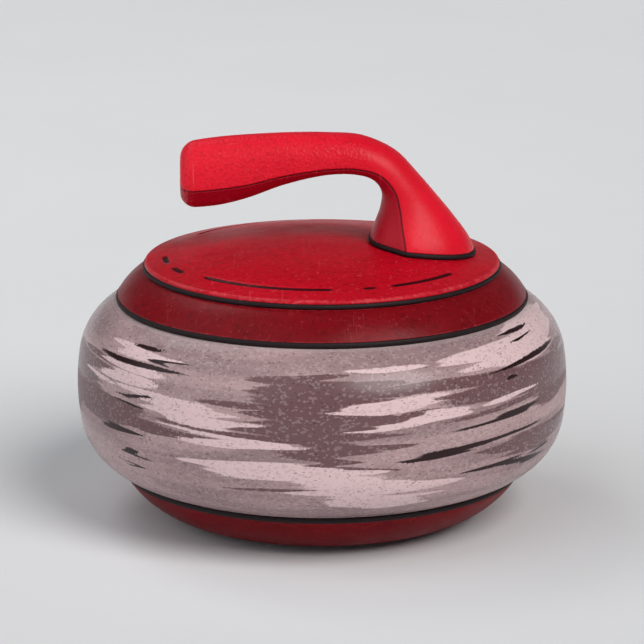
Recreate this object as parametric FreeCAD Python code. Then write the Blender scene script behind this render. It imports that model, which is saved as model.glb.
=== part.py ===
import FreeCAD, Part
import math
import os

# A curling stone with a gooseneck handle, in millimetres. The origin is on the ice under the stone's
# axis, +Z is up and the handle lies along X with its foot on the +X side.

# Granite body
STONE_R = 144.0            # widest radius, at the equator
EQUATOR_Z = 80.0
BELLY_R = 134.0            # profile radius of the striking band
BELLY_HALF = 20.0          # half height of the striking band
SHOULDER_R = 37.5          # profile radius above and below the striking band
STONE_TOP = 129.0          # outer edge of the granite's top
STONE_BASE = 30.0          # outer edge of the granite's underside
SPIGOT_TOP = 134.0         # raised disc that centres the collar
SPIGOT_TOP_R = 98.0
SPIGOT_BASE = 22.0         # lowered disc that centres the skirt
SPIGOT_BASE_R = 84.0
TOP_WELL_R = 30.0          # recess for the plate's hub
BORE_R = 8.0
FIT = 0.3                  # radial play of parts that drop over one another

# Running insert and skirt
BAND_R = 63.0              # middle of the running band
BAND_HALF = 2.5
BAND_INNER_RAMP = (4.0, 1.6)   # run and rise of the slope inside the band
BAND_OUTER_RAMP = (4.5, 1.2)   # run and rise of the slope outside it
INSERT_R = 70.0
INSERT_TOP = 32.0
INSERT_FLANGE_R = 77.5
INSERT_FLANGE_TOP = 14.0
INSERT_FLANGE_BASE = 3.0
CUP_TOP = 9.0              # roof of the hollow inside the running band
CUP_MIDDLE = (40.0, 6.6)   # point halfway down the hollow's curved wall
BOLT_WELL_R = 16.0
BOLT_SEAT = 24.0
SKIRT_BASE_R = 80.0
SKIRT_BASE = 2.0
SKIRT_BULGE = 5.0
SKIRT_WALL = 4.0
SKIRT_POCKET = 11.0        # floor of the hidden pocket in the skirt's top
SKIRT_POCKET_R = 104.0
SKIRT_POCKET_RUN = 8.0
SKIRT_POCKET_RISE = 1.0

# Rubber beads between the visible parts
BEAD = 3.4                 # bead height at the granite
BEAD_SWELL = 1.0           # how far a bead stands out of its joint
LOWER_BEAD_INNER_R = 108.0
UPPER_BEAD_INNER_R = 110.0
RIM_BEAD = 3.0             # bead height under the cover's rim
RIM_BEAD_INNER_R = 98.5
FOOT_BEAD = 3.0            # gasket under the handle's foot
FOOT_BEAD_OVERHANG = 1.035 # gasket outline relative to the foot's

# Collar and cover
RING_R = 120.0
RING_TOP = 147.4
RING_TOP_R = 104.0
RING_BULGE = 1.6
RING_INNER_R = 97.0
RING_FLANGE_R = 86.0
COVER_RIM = RING_TOP + RIM_BEAD
COVER_EDGE_ROUND = 2.4
COVER_TOP = 164.0
COVER_WALL = 4.0
COVER_GROOVE_R = 89.0
COVER_GROOVE = 0.8
SPIGOT_R = 95.5            # cover's locating skirt inside the collar
SPIGOT_WALL = 3.0
SPIGOT_END = 144.5
COVER_RIB = 2.5
COVER_RIB_START = 24.0
COVER_RIB_END = 151.0

# Load plate and pad
PLATE_R = 96.0
PLATE_BASE = 137.0
PLATE_TOP = 143.0
PLATE_RIB = 6.0
PLATE_RIB_TOP = 148.0
PLATE_RIB_R = 90.0
HUB_R = 22.0
HUB_BASE = 131.0
HUB_TOP = 150.0
PAD_INNER_R = 34.0
PAD_R = 70.0
WINDOW_R = 9.0             # lightening holes in the plate
WINDOW_RING_R = 50.0

# Bolt, washers, sleeve and threaded hub
BOLT_R = 5.0
BOLT_LENGTH = 130.0
BOLT_HEAD = 6.4
BOLT_FLATS = 16.0
BOLT_TIP_BEVEL = 1.0
THREAD_LENGTH = 38.0
THREAD_PITCH = 1.5
THREAD_DEPTH = 0.6
SOFT_WASHER = 2.0
FLAT_WASHER = 2.5
WASHER_R = 15.0
LOCK_WASHER = 2.2
LOCK_WASHER_R = 9.05
LOCK_WASHER_PLAY = 0.1
LOCK_GAP = 2.0
LOCK_GAP_TILT = 25.0       # degrees
SLEEVE_R = 7.8
SLEEVE_INNER_R = 5.2
INSERT_BRASS_R = 10.0
BRASS_FLANGE_R = 15.0
BRASS_FLANGE = 3.0
THREAD_PLAY = 0.03         # thread flanks are drawn as a plain bore this much larger

# Handle foot and its screws
FOOT_X = 57.0
CORE_FOOT = (17.0, 13.0)   # half length and half width of the steel foot
PEDESTAL = (20.0, 16.0)
CORE_SCREW_R = 4.0
CORE_SCREW_HEAD_R = 6.5
CORE_SCREW_HEAD = 8.0
CORE_SCREW_LENGTH = 19.0
CORE_SCREW_X = (46.5, 67.5)
CORE_SCREW_SOCKET = (3.0, 4.0)   # half the width across flats, and depth
CORE_SCALE = 0.54          # core section relative to the grip's

# Cover screws and the brass inserts that they enter
COVER_SCREWS = 6
COVER_SCREW_TURN = 30.0    # degrees from +X to the first screw
COVER_SCREW_RING_R = 78.0
COVER_SCREW_R = 2.0
COVER_SCREW_HEAD_R = 4.0
COVER_SCREW_HEAD = 2.8
COVER_SCREW_LENGTH = 12.0
COVER_SCREW_SOCKET = (1.5, 1.4)
BOSS_R = 6.0
BOSS_BASE = 143.2
BOSS_INSERT_R = 3.0
BOSS_INSERT_LENGTH = 8.0
HEAD_SINK = 0.2            # screw heads lie this far inside the plate's underside
DRILL_RUN = 1.0            # blind holes run this far past the screw or insert in them

# Grip sections, from the free end to below the cover. Each has the point on the upper outline (x, z),
# the point on the lower outline (x, z), the half width and the height of the crease above the lower
# point as a share of the section.
GRIP = [
    ((-82.5, 213.0), (-82.5, 191.0), 8.5, 0.33),
    ((-81.6, 216.8), (-81.6, 187.4), 11.5, 0.32),
    ((-79.3, 219.6), (-79.3, 185.0), 13.9, 0.31),
    ((-74.0, 222.2), (-74.0, 183.6), 15.6, 0.30),
    ((-62.0, 224.6), (-61.0, 184.8), 16.4, 0.295),
    ((-44.0, 226.2), (-43.5, 189.2), 16.6, 0.27),
    ((-22.0, 227.4), (-22.0, 197.2), 16.4, 0.24),
    ((2.0, 227.6), (2.0, 203.0), 16.2, 0.21),
    ((24.0, 225.6), (19.0, 203.4), 16.6, 0.23),
    ((43.0, 216.7), (29.5, 200.2), 17.6, 0.29),
    ((56.0, 203.2), (34.6, 193.0), 18.9, 0.33),
    ((67.0, 190.3), (34.0, 183.5), 21.0, 0.33),
    ((77.0, 178.0), (31.0, 174.5), 25.0, 0.33),
    ((86.5, 164.5), (28.0, 165.5), 31.0, 0.34),
    ((90.5, 152.0), (25.5, 152.0), 34.0, 0.34),
]
CORE_SECTIONS = slice(4, 13)
CREASE_LEAN = math.radians(40)   # how far the lower facet leans inwards at the crease
SECTION_PULL = 0.60              # length of the section curves' handles, as a share of their reach
CORE_FOOT_TOP = 166.0            # where the core begins to narrow into the neck

AXIS = FreeCAD.Vector(0, 0, 1)
HERE = FreeCAD.Vector(0, 0, 0)


def at(point):
    return FreeCAD.Vector(point[0], 0, point[1])


def spun(start, *steps):
    """Solid of revolution of a closed outline. A step is a point, or (through, end) for an arc."""
    edges = []
    here = start
    for step in list(steps) + [start]:
        if isinstance(step[0], tuple):
            through, end = step
            edges.append(Part.Arc(at(here), at(through), at(end)).toShape())
        else:
            end = step
            edges.append(Part.LineSegment(at(here), at(end)).toShape())
        here = end
    return Part.Face(Part.Wire(edges)).revolve(HERE, AXIS, 360)


def tube(outer, inner, low, high):
    return spun((inner, low), (outer, low), (outer, high), (inner, high))


def rod(radius, low, high, x=0.0, y=0.0):
    return Part.makeCylinder(radius, high - low, FreeCAD.Vector(x, y, low))


def bulged(start, end, bulge):
    """Point on an arc from start to end that swells by bulge to the left of that direction."""
    run = (end[0] - start[0], end[1] - start[1])
    length = math.hypot(*run)
    return ((start[0] + end[0]) / 2 - bulge * run[1] / length,
            (start[1] + end[1]) / 2 + bulge * run[0] / length)


def ring_places(count, radius, turn):
    """Points equally spaced round the axis, the first one turned by the given angle in degrees."""
    for number in range(count):
        angle = math.radians(turn + 360.0 * number / count)
        yield radius * math.cos(angle), radius * math.sin(angle)


def shoulder_radius(z):
    """Granite radius at a height above or below the striking band."""
    lean = math.asin(BELLY_HALF / BELLY_R)
    centre_r = STONE_R - BELLY_R + (BELLY_R - SHOULDER_R) * math.cos(lean)
    centre_h = (BELLY_R - SHOULDER_R) * math.sin(lean)
    rise = abs(z - EQUATOR_Z) - centre_h
    return centre_r + math.sqrt(SHOULDER_R ** 2 - rise ** 2)


def belly_radius(z):
    return STONE_R - BELLY_R + math.sqrt(BELLY_R ** 2 - (z - EQUATOR_Z) ** 2)


def stone_body():
    low_band = EQUATOR_Z - BELLY_HALF
    high_band = EQUATOR_Z + BELLY_HALF
    low_mid = (low_band + STONE_BASE) / 2
    high_mid = (high_band + STONE_TOP) / 2
    recess_r = INSERT_R + FIT
    recess_top = INSERT_TOP + FIT
    return spun(
        (BORE_R, recess_top), (recess_r, recess_top), (recess_r, SPIGOT_BASE),
        (SPIGOT_BASE_R, SPIGOT_BASE), (SPIGOT_BASE_R, STONE_BASE),
        (shoulder_radius(STONE_BASE), STONE_BASE),
        ((shoulder_radius(low_mid), low_mid), (belly_radius(low_band), low_band)),
        ((STONE_R, EQUATOR_Z), (belly_radius(high_band), high_band)),
        ((shoulder_radius(high_mid), high_mid), (shoulder_radius(STONE_TOP), STONE_TOP)),
        (SPIGOT_TOP_R, STONE_TOP), (SPIGOT_TOP_R, SPIGOT_TOP), (TOP_WELL_R, SPIGOT_TOP),
        (TOP_WELL_R, STONE_TOP), (BORE_R, STONE_TOP))


def running_insert():
    band_out = BAND_R + BAND_HALF
    band_in = BAND_R - BAND_HALF
    inner_run, inner_rise = BAND_INNER_RAMP
    outer_run, outer_rise = BAND_OUTER_RAMP
    return spun(
        (BORE_R, BOLT_SEAT), (BOLT_WELL_R, BOLT_SEAT), (BOLT_WELL_R, CUP_TOP),
        (CUP_MIDDLE, (band_in - inner_run, inner_rise)), (band_in, 0.0), (band_out, 0.0),
        (band_out + outer_run, outer_rise),
        (INSERT_FLANGE_R, INSERT_FLANGE_BASE), (INSERT_FLANGE_R, INSERT_FLANGE_TOP),
        (INSERT_R, INSERT_FLANGE_TOP), (INSERT_R, INSERT_TOP), (BORE_R, INSERT_TOP))


def lower_skirt():
    """Bottom cap. Its inner flange lies between the granite and the running insert's flange."""
    top = STONE_BASE - BEAD
    outer = (shoulder_radius(STONE_BASE), top)
    foot = (SKIRT_BASE_R, SKIRT_BASE)
    throat = INSERT_FLANGE_R + FIT
    pocket = spun(
        (SPIGOT_BASE_R + SKIRT_WALL, STONE_BASE), (SPIGOT_BASE_R + SKIRT_WALL, SKIRT_POCKET),
        (SKIRT_POCKET_R - SKIRT_POCKET_RUN, SKIRT_POCKET + SKIRT_POCKET_RISE),
        (SKIRT_POCKET_R, SKIRT_POCKET + SKIRT_POCKET_RUN), (SKIRT_POCKET_R, STONE_BASE))
    skirt = spun(
        (INSERT_R + FIT, INSERT_FLANGE_TOP), (throat, INSERT_FLANGE_TOP),
        (throat, INSERT_FLANGE_BASE), foot,
        (bulged(foot, outer, -SKIRT_BULGE), outer), (LOWER_BEAD_INNER_R - FIT, top),
        (LOWER_BEAD_INNER_R - FIT, STONE_BASE), (SPIGOT_BASE_R + FIT, STONE_BASE),
        (SPIGOT_BASE_R + FIT, SPIGOT_BASE), (INSERT_R + FIT, SPIGOT_BASE))
    return skirt.cut(pocket)


def bead(inner, outer, low, high):
    """Flat rubber ring with a swollen outer edge."""
    edge = (outer + BEAD_SWELL, (low + high) / 2)
    return spun((inner, low), (outer, low), (edge, (outer, high)), (inner, high))


def lower_seal():
    return bead(LOWER_BEAD_INNER_R, shoulder_radius(STONE_BASE), STONE_BASE - BEAD, STONE_BASE)


def upper_seal():
    return bead(UPPER_BEAD_INNER_R, shoulder_radius(STONE_TOP), STONE_TOP, STONE_TOP + BEAD)


def cover_seal():
    return bead(RIM_BEAD_INNER_R, RING_TOP_R, RING_TOP, COVER_RIM)


def upper_ring():
    """Collar. Its inner flange lies on the granite, under the load plate."""
    base = STONE_TOP + BEAD
    outer = (RING_R, base)
    crown = (RING_TOP_R, RING_TOP)
    return spun(
        (SPIGOT_TOP_R + FIT, STONE_TOP), (UPPER_BEAD_INNER_R - FIT, STONE_TOP),
        (UPPER_BEAD_INNER_R - FIT, base), outer,
        (bulged(outer, crown, -RING_BULGE), crown), (RING_INNER_R, RING_TOP),
        (RING_INNER_R, PLATE_BASE), (RING_FLANGE_R, PLATE_BASE), (RING_FLANGE_R, SPIGOT_TOP),
        (SPIGOT_TOP_R + FIT, SPIGOT_TOP))


def dome_radius():
    """Sphere radius of the cover's top."""
    half = RING_TOP_R - COVER_EDGE_ROUND
    rise = COVER_TOP - COVER_RIM - COVER_EDGE_ROUND
    return (half ** 2 + rise ** 2) / (2 * rise)


def dome_z(radius, raised=0.0):
    sphere = dome_radius()
    return COVER_TOP - sphere + math.sqrt((sphere + raised) ** 2 - radius ** 2)


def dome_block(raised=0.0):
    """Solid under the cover's top surface, raised by an offset."""
    edge_r = RING_TOP_R - COVER_EDGE_ROUND
    half_r = edge_r / 2
    return spun(
        (0.0, HUB_TOP), (edge_r, HUB_TOP), (edge_r, dome_z(edge_r, raised)),
        ((half_r, dome_z(half_r, raised)), (0.0, dome_z(0.0, raised))))


def cover_shell():
    edge_r = RING_TOP_R - COVER_EDGE_ROUND
    groove_in = COVER_GROOVE_R - COVER_GROOVE
    groove_out = COVER_GROOVE_R + COVER_GROOVE
    rim_mid = (edge_r + groove_out) / 2
    corner = COVER_EDGE_ROUND * (1 - math.sqrt(0.5))
    inside = SPIGOT_R - SPIGOT_WALL
    return spun(
        (0.0, dome_z(0.0, -COVER_WALL)),
        ((inside / 2, dome_z(inside / 2, -COVER_WALL)), (inside, dome_z(inside, -COVER_WALL))),
        (inside, SPIGOT_END), (SPIGOT_R, SPIGOT_END), (SPIGOT_R, COVER_RIM), (RING_TOP_R, COVER_RIM),
        ((RING_TOP_R - corner, COVER_RIM + COVER_EDGE_ROUND - corner), (edge_r, dome_z(edge_r))),
        ((rim_mid, dome_z(rim_mid)), (groove_out, dome_z(groove_out))),
        ((COVER_GROOVE_R, dome_z(COVER_GROOVE_R) - COVER_GROOVE), (groove_in, dome_z(groove_in))),
        ((groove_in / 2, dome_z(groove_in / 2)), (0.0, COVER_TOP)))


def spoke(width, inner, outer, low, high, turn):
    block = Part.makeBox(outer - inner, width, high - low, FreeCAD.Vector(inner, -width / 2, low))
    block.rotate(HERE, AXIS, turn)
    return block


def spokes(width, inner, outer, low, high):
    """Ribs midway between the cover screws."""
    return [spoke(width, inner, outer, low, high, 360.0 / COVER_SCREWS * number)
            for number in range(COVER_SCREWS)]


def boss_places():
    return list(ring_places(COVER_SCREWS, COVER_SCREW_RING_R, COVER_SCREW_TURN))


def top_cover():
    under = dome_block(-COVER_WALL / 2)
    inside = SPIGOT_R - SPIGOT_WALL / 2
    extras = spokes(COVER_RIB, COVER_RIB_START, inside, COVER_RIB_END, COVER_TOP)
    extras += [rod(BOSS_R, BOSS_BASE, COVER_TOP, x, y) for x, y in boss_places()]
    trimmed = []
    for extra in extras:
        low = extra.BoundBox.ZMin
        below = rod(PLATE_R, low, HUB_TOP) if low < HUB_TOP else None
        keep = under.fuse(below) if below else under
        trimmed.append(extra.common(keep))
    cover = cover_shell().fuse(trimmed).removeSplitter()
    hole_top = BOSS_BASE + BOSS_INSERT_LENGTH + DRILL_RUN
    holes = [rod(BOSS_INSERT_R, BOSS_BASE, hole_top, x, y) for x, y in boss_places()]
    holes.append(oval(CORE_FOOT[0] + FIT, CORE_FOOT[1] + FIT, HUB_TOP, COVER_TOP))
    return cover.cut(holes)


def plate_cushion():
    return tube(PAD_R, PAD_INNER_R, SPIGOT_TOP, PLATE_BASE)


def load_plate():
    plate = rod(PLATE_R, PLATE_BASE, PLATE_TOP)
    ribs = spokes(PLATE_RIB, HUB_R / 2, PLATE_RIB_R, PLATE_TOP, PLATE_RIB_TOP)
    plate = plate.fuse([rod(HUB_R, HUB_BASE, HUB_TOP), oval(*PEDESTAL, PLATE_TOP, HUB_TOP)] + ribs)
    plate = plate.removeSplitter()
    holes = [rod(INSERT_BRASS_R, HUB_BASE, HUB_TOP)]
    holes += [rod(WINDOW_R, PLATE_BASE, PLATE_TOP, x, y)
              for x, y in ring_places(COVER_SCREWS, WINDOW_RING_R, COVER_SCREW_TURN)]
    for x, y in boss_places():
        holes.append(rod(COVER_SCREW_R + FIT, PLATE_BASE, PLATE_TOP, x, y))
        seat = PLATE_BASE + HEAD_SINK + COVER_SCREW_HEAD
        holes.append(rod(COVER_SCREW_HEAD_R + FIT, PLATE_BASE, seat, x, y))
    for x in CORE_SCREW_X:
        holes.append(rod(CORE_SCREW_R + FIT, PLATE_BASE, HUB_TOP, x))
        seat = PLATE_BASE + HEAD_SINK + CORE_SCREW_HEAD
        holes.append(rod(CORE_SCREW_HEAD_R + FIT, PLATE_BASE, seat, x))
    return plate.cut(holes)


def hub_insert():
    inner = BOLT_R + THREAD_PLAY
    top = HUB_TOP + BRASS_FLANGE
    return spun(
        (inner, HUB_BASE), (INSERT_BRASS_R, HUB_BASE), (INSERT_BRASS_R, HUB_TOP),
        (BRASS_FLANGE_R, HUB_TOP), (BRASS_FLANGE_R, top), (inner, top))


def head_top():
    """Face of the bolt's head that the lock washer lies on."""
    return BOLT_SEAT - SOFT_WASHER - FLAT_WASHER - LOCK_WASHER


def hexagon(flats, low, high):
    corner = flats / math.sqrt(3)
    points = [FreeCAD.Vector(x, y, low) for x, y in ring_places(6, corner, 0.0)]
    face = Part.Face(Part.makePolygon(points + points[:1]))
    return face.extrude(FreeCAD.Vector(0, 0, high - low))


def centre_bolt():
    """Hexagon bolt, head down. The thread is drawn as grooves at the thread's pitch."""
    seat = head_top()
    base = seat - BOLT_HEAD
    tip = seat + BOLT_LENGTH
    corner = BOLT_FLATS / math.sqrt(3)
    bevel = corner - BOLT_FLATS / 2
    head = hexagon(BOLT_FLATS, base, seat).common(
        spun((0.0, base), (corner - bevel, base), (corner, base + bevel), (corner, seat), (0.0, seat)))
    flank = []
    grooves = int(THREAD_LENGTH / THREAD_PITCH) - 1
    for number in range(grooves):
        crest = tip - THREAD_LENGTH + number * THREAD_PITCH
        flank += [(BOLT_R, crest), (BOLT_R - THREAD_DEPTH, crest + THREAD_PITCH / 2)]
    end = tip - THREAD_PITCH
    tip_r = BOLT_R - BOLT_TIP_BEVEL
    shank = spun((0.0, seat), (BOLT_R, seat), *flank, (BOLT_R, end), (tip_r, tip), (0.0, tip))
    return head.fuse(shank)


def lock_washer():
    """Split spring washer. The slot's block is three washers high, so that it cuts right through."""
    top = head_top() + LOCK_WASHER
    ring = tube(LOCK_WASHER_R, BOLT_R + LOCK_WASHER_PLAY, head_top(), top)
    slot = 3 * LOCK_WASHER
    gap = Part.makeBox(2 * LOCK_WASHER_R, LOCK_GAP, slot, FreeCAD.Vector(0, -LOCK_GAP / 2, -slot / 2))
    gap.rotate(HERE, FreeCAD.Vector(1, 0, 0), LOCK_GAP_TILT)
    gap.translate(FreeCAD.Vector(0, 0, head_top() + LOCK_WASHER / 2))
    return ring.cut(gap)


def bolt_washer():
    low = BOLT_SEAT - SOFT_WASHER - FLAT_WASHER
    return tube(WASHER_R, BOLT_R + FIT, low, low + FLAT_WASHER)


def cushion_washer():
    return tube(WASHER_R + FIT, BOLT_R + FIT, BOLT_SEAT - SOFT_WASHER, BOLT_SEAT)


def bore_sleeve():
    return tube(SLEEVE_R, SLEEVE_INNER_R, BOLT_SEAT, STONE_TOP)


def section(upper, lower, half_width, crease, scale=1.0, lean=CREASE_LEAN):
    """Closed wire of four curves: a round upper half and a leaner lower half that meet in a crease."""
    up = at(upper).sub(at(lower))
    half = up.Length / 2 * scale
    middle = at(upper).add(at(lower)).multiply(0.5)
    up.normalize()
    across = FreeCAD.Vector(0, half_width * scale, 0)
    edge = half * (2 * crease - 1)
    rise = half - edge
    drop = half + edge
    pull = SECTION_PULL

    def spot(side, height):
        return middle.add(FreeCAD.Vector(across).multiply(side)).add(FreeCAD.Vector(up).multiply(height))

    def curve(*spots):
        bezier = Part.BezierCurve()
        bezier.setPoles([spot(*place) for place in spots])
        return bezier.toShape()

    inward = drop * pull * math.tan(lean) / (half_width * scale)
    knee = edge - drop * pull
    return Part.Wire([
        curve((1, edge), (1, edge + rise * pull), (pull, half), (0, half)),
        curve((0, half), (-pull, half), (-1, edge + rise * pull), (-1, edge)),
        curve((-1, edge), (inward - 1, knee), (-pull, -half), (0, -half)),
        curve((0, -half), (pull, -half), (1 - inward, knee), (1, edge))])


def oval_wire(half_length, half_width, z):
    return section((FOOT_X + half_length, z), (FOOT_X - half_length, z), half_width, 0.5, lean=0.0)


def oval(half_length, half_width, low, high):
    """Upright oval block under the handle's foot."""
    face = Part.Face(oval_wire(half_length, half_width, low))
    return face.extrude(FreeCAD.Vector(0, 0, high - low))


def grip_block():
    return Part.makeLoft([section(*station) for station in GRIP], True)


def core_block():
    """Steel gooseneck inside the grip, standing on the load plate's pedestal, before it is drilled."""
    wires = [section(*station, scale=CORE_SCALE, lean=0.0) for station in GRIP[CORE_SECTIONS]]
    wires.append(oval_wire(*CORE_FOOT, CORE_FOOT_TOP))
    return Part.makeLoft(wires, True).fuse(oval(*CORE_FOOT, HUB_TOP, CORE_FOOT_TOP))


def handle_core():
    tip = PLATE_BASE + HEAD_SINK + CORE_SCREW_HEAD + CORE_SCREW_LENGTH
    holes = [rod(CORE_SCREW_R + THREAD_PLAY, HUB_TOP, tip + DRILL_RUN, x) for x in CORE_SCREW_X]
    return core_block().cut(holes)


def handle_grip():
    return grip_block().cut([core_block(), dome_block(FOOT_BEAD)])


def foot_seal():
    upper, lower, half_width, crease = GRIP[-2]
    low = HUB_TOP
    right = (upper[0], low)
    left = (lower[0], low)
    wire = section(right, left, half_width, crease)
    wire.scale(FOOT_BEAD_OVERHANG, FreeCAD.Vector((right[0] + left[0]) / 2, 0, low))
    pillar = Part.Face(wire).extrude(FreeCAD.Vector(0, 0, COVER_TOP - low + FOOT_BEAD))
    pad = pillar.common(dome_block(FOOT_BEAD)).cut(dome_block())
    return pad.cut(oval(CORE_FOOT[0] + FIT, CORE_FOOT[1] + FIT, low, COVER_TOP + FOOT_BEAD))


def screw(x, y, head_r, head, shank_r, length, socket):
    """Socket head screw, head down in the plate's underside."""
    base = PLATE_BASE + HEAD_SINK
    body = rod(head_r, base, base + head, x, y).fuse(rod(shank_r, base + head, base + head + length, x, y))
    socket_r, depth = socket
    recess = hexagon(2 * socket_r, base, base + depth)
    recess.translate(FreeCAD.Vector(x, y, 0))
    return body.cut(recess)


def handle_screws():
    return [screw(x, 0.0, CORE_SCREW_HEAD_R, CORE_SCREW_HEAD, CORE_SCREW_R, CORE_SCREW_LENGTH,
                  CORE_SCREW_SOCKET) for x in CORE_SCREW_X]


def cover_screws():
    return [screw(x, y, COVER_SCREW_HEAD_R, COVER_SCREW_HEAD, COVER_SCREW_R, COVER_SCREW_LENGTH,
                  COVER_SCREW_SOCKET) for x, y in boss_places()]


def boss_inserts():
    top = BOSS_BASE + BOSS_INSERT_LENGTH
    bore = COVER_SCREW_R + THREAD_PLAY
    return [rod(BOSS_INSERT_R, BOSS_BASE, top, x, y).cut(rod(bore, BOSS_BASE, top, x, y))
            for x, y in boss_places()]


PARTS = [
    stone_body, running_insert, lower_skirt, lower_seal, upper_seal, upper_ring, cover_seal, top_cover,
    plate_cushion, load_plate, hub_insert, centre_bolt, lock_washer, bolt_washer, cushion_washer,
    bore_sleeve, handle_core, handle_grip, foot_seal, handle_screws, cover_screws, boss_inserts,
]

os.makedirs("parts", exist_ok=True)
for make in PARTS:
    shape = make()
    if isinstance(shape, list):
        shape = Part.makeCompound(shape)
    shape.exportStep("parts/" + make.__name__ + ".step")
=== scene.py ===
import math

import bmesh
import bpy
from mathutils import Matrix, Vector


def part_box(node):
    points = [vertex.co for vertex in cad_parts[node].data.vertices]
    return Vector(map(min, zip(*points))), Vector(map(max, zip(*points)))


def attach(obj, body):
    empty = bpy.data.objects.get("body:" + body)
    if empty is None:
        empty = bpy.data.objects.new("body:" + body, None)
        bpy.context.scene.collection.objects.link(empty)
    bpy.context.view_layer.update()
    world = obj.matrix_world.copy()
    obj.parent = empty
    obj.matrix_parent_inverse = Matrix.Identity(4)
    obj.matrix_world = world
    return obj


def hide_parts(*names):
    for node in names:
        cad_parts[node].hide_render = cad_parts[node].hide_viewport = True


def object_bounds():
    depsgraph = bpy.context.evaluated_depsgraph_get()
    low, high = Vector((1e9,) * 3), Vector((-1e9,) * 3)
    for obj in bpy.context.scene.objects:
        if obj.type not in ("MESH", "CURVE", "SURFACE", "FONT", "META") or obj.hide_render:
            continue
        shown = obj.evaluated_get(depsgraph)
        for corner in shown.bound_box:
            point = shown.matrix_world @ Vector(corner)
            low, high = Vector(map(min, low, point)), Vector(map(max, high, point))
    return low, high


# A curling stone: streaked granite, red plastic collar, cover, skirt and gooseneck grip. Shapes are
# worked out in millimetres and scaled to metres when a mesh is made. Angles round the stone start at
# the front (-Y) and grow towards +X.

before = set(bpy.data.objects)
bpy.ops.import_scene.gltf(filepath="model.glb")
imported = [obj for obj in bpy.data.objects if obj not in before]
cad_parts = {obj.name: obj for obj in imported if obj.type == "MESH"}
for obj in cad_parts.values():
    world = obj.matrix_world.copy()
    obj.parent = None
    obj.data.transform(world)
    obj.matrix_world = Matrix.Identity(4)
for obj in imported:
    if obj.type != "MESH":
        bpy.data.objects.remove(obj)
cad_low, cad_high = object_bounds()
MM = 0.001

# Shape values in millimetres that the frame's boxes don't give
BELLY_R = 134.0
BELLY_HALF = 20.0
SHOULDER_R = 37.5
EQUATOR_Z = 80.0
SPIGOT_TOP_R = 98.0
SPIGOT_BASE_R = 84.0
TOP_WELL_R = 30.0
BORE_R = 8.0
FIT = 0.3
BAND_R = 63.0
BAND_HALF = 2.5
BAND_INNER_RAMP = (4.0, 1.6)
BAND_OUTER_RAMP = (4.5, 1.2)
CUP_TOP = 9.0
CUP_BULGE = 1.9
BOLT_WELL_R = 16.0
INSERT_R = 70.0
INSERT_FLANGE_TOP = 14.0
SKIRT_BASE_R = 80.0
SKIRT_BASE_EDGE = 1.0
SKIRT_BULGE = 5.0
POCKET_OUTER_R = 104.0
POCKET_FLOOR = [(104.0, 19.0), (96.0, 12.0), (88.0, 11.0)]
POCKET_INNER_R = 88.0
LOWER_BEAD_INNER_R = 108.0
UPPER_BEAD_INNER_R = 110.0
RIM_BEAD_INNER_R = 98.5
RING_BULGE = 1.6
RING_TOP_R = 104.0
RING_INNER_R = 97.0
RING_FLANGE_R = 86.0
COVER_EDGE_ROUND = 2.4
COVER_WALL = 4.0
SPIGOT_R = 95.5
SPIGOT_WALL = 3.0
SPIGOT_END = 144.5
SPIGOT_BEVEL = 0.4
SCREWS = 6
SCREW_RING_R = 78.0
SCREW_TURN = 30.0
BOSS_R = 6.0
BOSS_BASE = 143.2
BOSS_INSERT_R = 3.0
BOSS_HOLE_TOP = 152.2
RIB_WIDTH = 2.5
RIB_START = 24.0
RIB_BASE = 151.0
GROOVE_R = 89.0
RIM_GROOVE_R = 92.0
ACCENT_DEPTH = 0.9
ACCENT_HALF = 2.0
BEAD_SWELL = 1.0
FOOT_BEAD = 3.0
FOOT_X = 57.0
CORE_FOOT = (17.0, 13.0)
CORE_FOOT_TOP = 166.0
CORE_SCALE = 0.54
CREASE_LEAN = math.radians(40)
CREASE_ROUND = 1.0
BAR_CREASE_ROUND = 1.7
FOOT_CREASE_ROUND = 4.0
END_ROUND = 8.5
SEAM_DEPTH = 0.35
SEAM_HALF = 0.9

# Rounding of an outline's corners: the least turn that is rounded, and the most of a run that one
# corner may take. Longer runs than SHORT_RUN are divided near both ends and every RUN_STEP between.
SHARP_TURN = math.radians(18)
CUT_SHARE = 0.35
SHORT_RUN = 5.0
NEAR_END = (0.8, 2.0)
RUN_STEP = 4.0
WEAR_FADE = 1.2

# Cover: where its innermost rows stand, and how many rows the dome, the grooves and the edge have
COVER_FIRST_R = 3.0
COVER_NEXT_R = 8.0
DOME_ROWS = 20
GROOVE_ROWS = 28
EDGE_ROWS = 3
UNDER_ROWS = 14

# Accent lines cut in the cover: radius, start and end in degrees. The three long ones come again
# behind. Each line grows shallow over its last few degrees.
LONG_ACCENTS = [(GROOVE_R, -50, 5), (GROOVE_R, 14, 21), (GROOVE_R, 25, 57.5)]
ACCENTS = LONG_ACCENTS + [(r, start + 180, end + 180) for r, start, end in LONG_ACCENTS]
ACCENTS += [(RIM_GROOVE_R, -88, -75), (RIM_GROOVE_R, -70, -59)]
ACCENT_TAPER = 4.0

# Across the grip's seam: share of its half width, how far the lower face's painted shade has come in,
# depth
SEAM = [(-1.0, 0.0, 0.0), (-0.5, 0.2, 0.7), (0.0, 0.5, 1.0), (0.5, 0.8, 0.7), (1.0, 1.0, 0.0)]

# Places in the grip's list of sections, rows of faces made between them, and further insets of the
# rings that close the free end
CORE_START = 1.0
NECK_PLACE = 7.0
TRIM_PLACE = 9.0
BODY_ROWS = 120
FOOT_ROWS = 26
CORE_ROWS = 48
CAP_ROWS = 9
CAP_INSETS = (5.5, 3.0, 1.2)
ARC_STEPS = 14
TRIM_DENSITY = 4

# Half of a grip section: pull of its curves' handles, most of a curve that the rounded crease takes,
# crowding of points towards the crease and widest seam as a share of that rounding
CURVE_PULL = 0.60
CUT_LIMIT = 0.4
CROWDING = 1.2
SEAM_LIMIT = 0.24

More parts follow.
